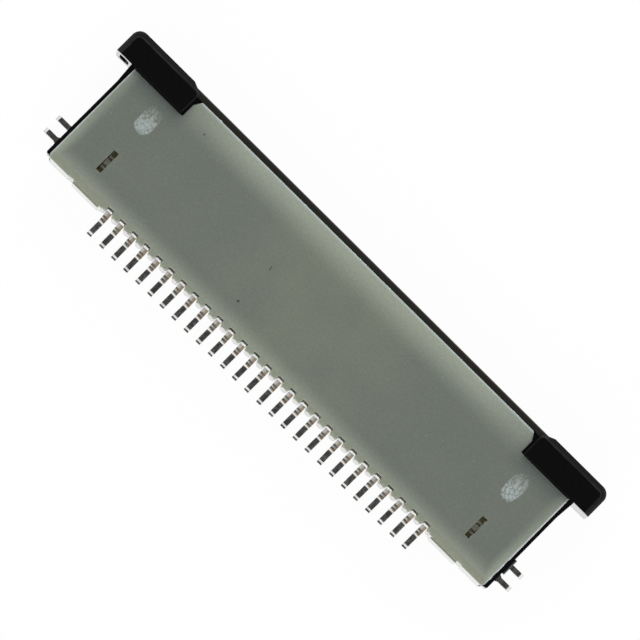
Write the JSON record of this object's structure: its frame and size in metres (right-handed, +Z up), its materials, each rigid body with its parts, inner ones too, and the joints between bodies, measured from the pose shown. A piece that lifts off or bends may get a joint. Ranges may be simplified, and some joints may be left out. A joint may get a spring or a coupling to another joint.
{
  "type": "fpc connector",
  "caption": "Right-angle flat-cable connector for a printed board, with a sliding lock across its mouth and a row of gull-wing solder tails.",
  "frame": {"origin": "middle of the footprint, on the board's surface", "axes": "+X along the row of contacts, -Y out of the cable mouth, +Y towards the solder tails, +Z up from the board"},
  "size_m": [0.0388, 0.0106, 0.0028],
  "materials": {
    "housing_moulding": "fine matt moulding, grey-green natural resin, slightly translucent at thin edges",
    "slider_moulding": "black glass-filled resin, satin",
    "contact_plating": "bright tin on a copper alloy, brownish on the cut edges of the tails",
    "nail_plating": "bright tin on a copper alloy"
  },
  "bodies": {
    "connector": {"housing": "housing_moulding", "contact_01": "contact_plating", "contact_02": "contact_plating", "contact_03": "contact_plating", "contact_04": "contact_plating", "contact_05": "contact_plating", "contact_06": "contact_plating", "contact_07": "contact_plating", "contact_08": "contact_plating", "contact_09": "contact_plating", "contact_10": "contact_plating", "contact_11": "contact_plating", "contact_12": "contact_plating", "contact_13": "contact_plating", "contact_14": "contact_plating", "contact_15": "contact_plating", "contact_16": "contact_plating", "contact_17": "contact_plating", "contact_18": "contact_plating", "contact_19": "contact_plating", "contact_20": "contact_plating", "contact_21": "contact_plating", "contact_22": "contact_plating", "contact_23": "contact_plating", "contact_24": "contact_plating", "contact_25": "contact_plating", "contact_26": "contact_plating", "contact_27": "contact_plating", "fitting_nail_left": "nail_plating", "fitting_nail_right": "nail_plating"},
    "slide_lock": {"slider": "slider_moulding"}
  },
  "joints": [
    {"name": "lock_slide", "type": "slide", "parent": "connector", "child": "slide_lock", "axis": [0, -1, 0], "range_m": [0, 0.0012]}
  ]
}
